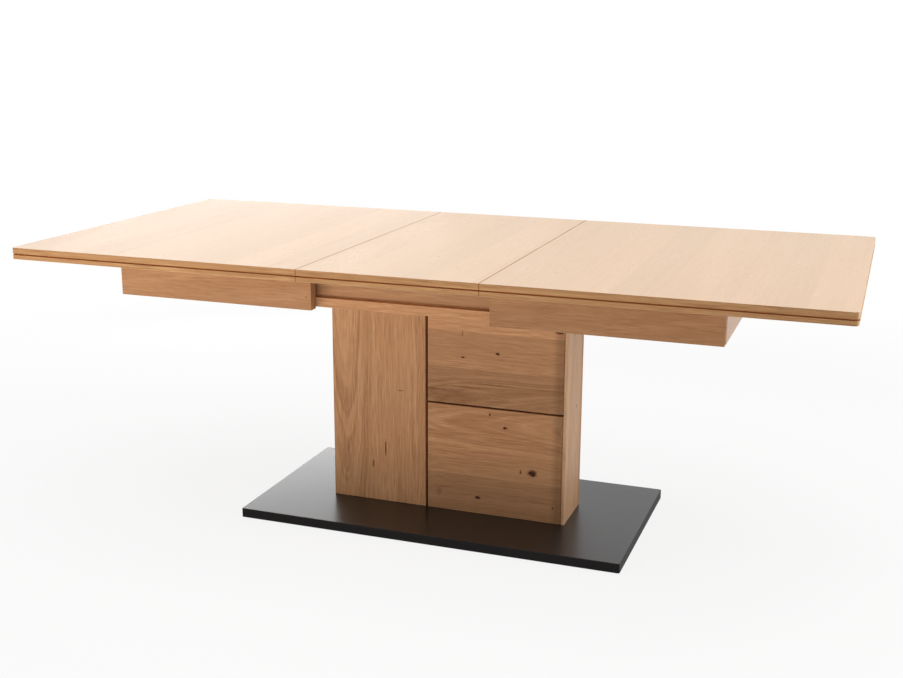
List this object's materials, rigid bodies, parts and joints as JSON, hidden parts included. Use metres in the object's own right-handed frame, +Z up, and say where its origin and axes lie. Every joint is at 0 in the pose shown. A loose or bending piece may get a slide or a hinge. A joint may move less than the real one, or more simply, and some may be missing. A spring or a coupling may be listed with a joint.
{
  "type": "extending pedestal dining table",
  "caption": "Oak dining table on a broad panelled column and flat base plate, with a top whose halves draw apart for a loose centre leaf.",
  "frame": {"origin": "on the floor under the middle of the table", "axes": "+X along the table's length, +Y from the front to the rear, +Z up"},
  "size_m": [2.1, 1, 0.76],
  "materials": {
    "oak_top": "oiled pale oak",
    "oak_apron": "oiled oak",
    "oak_column": "oiled knotty oak",
    "column_core": "black stained board",
    "beech_frame": "plain beech",
    "zinc_steel": "zinc plated",
    "gear_plastic": "black nylon",
    "anthracite": "matt anthracite lacquer on fibreboard",
    "glide_plastic": "hard black plastic"
  },
  "bodies": {
    "pedestal": {"front_rail": "oak_apron", "rear_rail": "oak_apron", "front_narrow_panel": "oak_column", "front_lower_panel": "oak_column", "front_upper_panel": "oak_column", "rear_narrow_panel": "oak_column", "rear_lower_panel": "oak_column", "rear_upper_panel": "oak_column", "left_side_board": "oak_column", "right_side_board": "oak_column", "column_core": "column_core", "core_foot_block": "column_core", "core_head_block": "column_core", "left_cross_beam": "beech_frame", "right_cross_beam": "beech_frame", "head_plate": "zinc_steel", "rail_brackets": "zinc_steel", "front_track": "zinc_steel", "rear_track": "zinc_steel", "pinion_bracket": "zinc_steel", "pinion_axle": "zinc_steel", "axle_clip": "zinc_steel", "base_bolts": "zinc_steel", "beam_bolts": "zinc_steel", "base_plate": "anthracite", "base_glides": "glide_plastic"},
    "left_half": {"left_top_board": "oak_top", "left_under_board": "oak_top", "left_front_apron": "oak_apron", "left_rear_apron": "oak_apron", "left_end_apron": "oak_apron", "left_corner_blocks": "beech_frame", "left_inner_batten": "beech_frame", "left_outer_batten": "beech_frame", "left_front_slide_bar": "zinc_steel", "left_rear_slide_bar": "zinc_steel", "left_rack": "gear_plastic"},
    "right_half": {"right_top_board": "oak_top", "right_under_board": "oak_top", "right_front_apron": "oak_apron", "right_rear_apron": "oak_apron", "right_end_apron": "oak_apron", "right_corner_blocks": "beech_frame", "right_inner_batten": "beech_frame", "right_outer_batten": "beech_frame", "right_front_slide_bar": "zinc_steel", "right_rear_slide_bar": "zinc_steel", "right_rack": "gear_plastic"},
    "leaf": {"leaf_top_board": "oak_top", "leaf_under_board": "oak_top", "leaf_left_batten": "beech_frame", "leaf_right_batten": "beech_frame", "leaf_pegs": "beech_frame"},
    "pinion": {"sync_pinion": "gear_plastic"}
  },
  "joints": [
    {"name": "left_slide", "type": "slide", "parent": "pedestal", "child": "left_half", "axis": [-1, 0, 0], "range_m": [0, 0.04]},
    {"name": "right_slide", "type": "slide", "parent": "pedestal", "child": "right_half", "axis": [1, 0, 0], "range_m": [0, 0.04]},
    {"name": "pinion_turn", "type": "hinge", "parent": "pedestal", "child": "pinion", "pos_m": [0, 0, 0.7045], "axis": [0, 0, -1], "range_deg": [0, 92]},
    {"name": "leaf_lift", "type": "slide", "parent": "pedestal", "child": "leaf", "axis": [0, 0, 1], "range_m": [0, 0.3]}
  ],
  "couplings": [
    {"joint": "right_slide", "follows": "left_slide", "ratio": 1},
    {"joint": "pinion_turn", "follows": "left_slide", "rad_per_m": 40}
  ]
}
